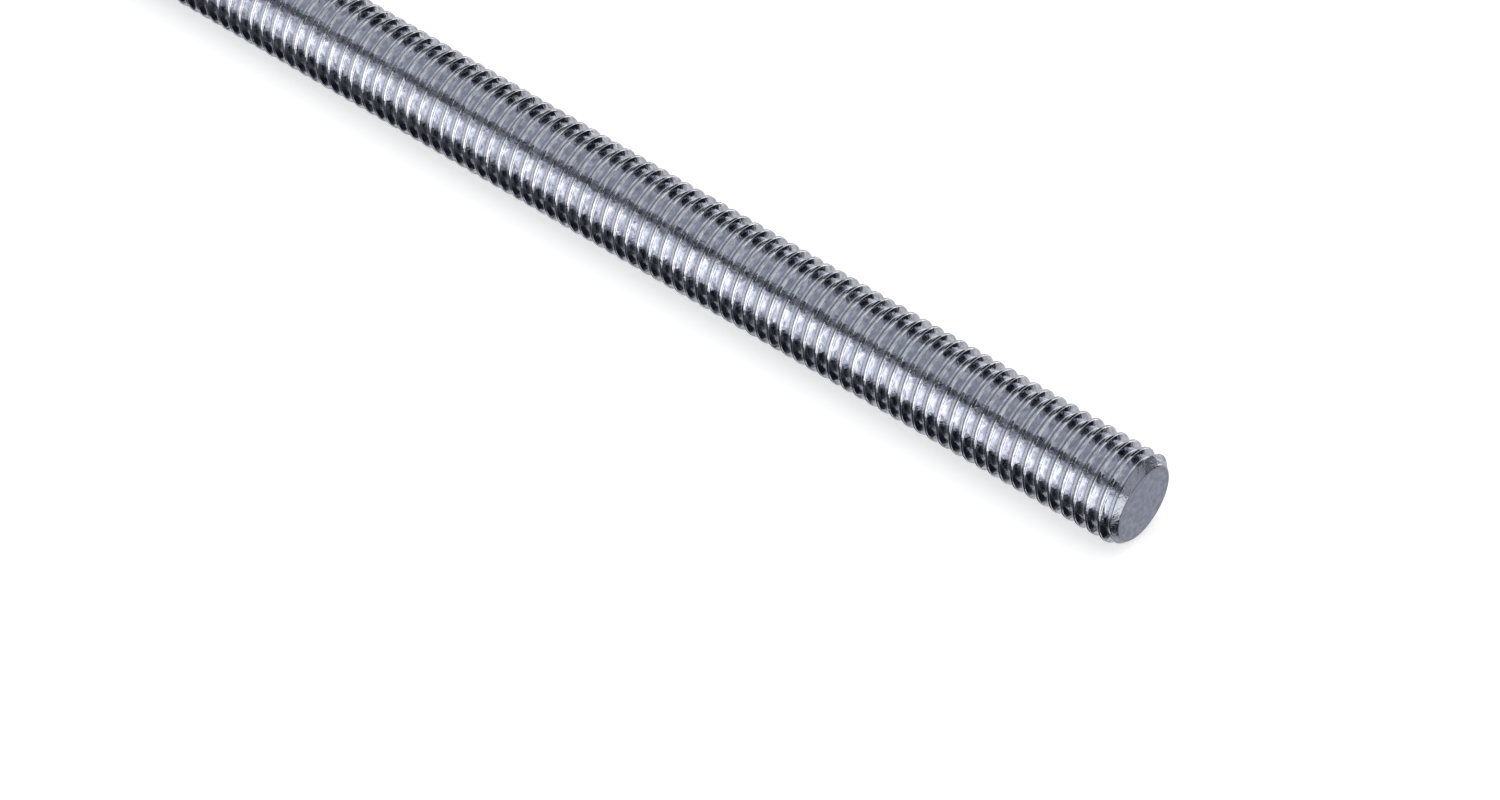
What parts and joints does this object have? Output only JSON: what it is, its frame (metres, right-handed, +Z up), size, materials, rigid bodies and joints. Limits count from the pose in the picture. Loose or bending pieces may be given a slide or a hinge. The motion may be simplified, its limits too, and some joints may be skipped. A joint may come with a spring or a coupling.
{
  "type": "threaded rod",
  "caption": "Straight metric steel rod, threaded along its whole length, with a chamfer and a flat cut face at each end.",
  "frame": {"origin": "on the rod's axis, midway between its two end faces", "axes": "+X along the rod's axis, +Z up when the rod lies level, +Y across it"},
  "size_m": [0.2, 0.01, 0.01],
  "materials": {
    "plated_steel": "zinc plated, rolled thread, satin"
  },
  "bodies": {
    "root": {"threaded_rod": "plated_steel"}
  },
  "joints": []
}
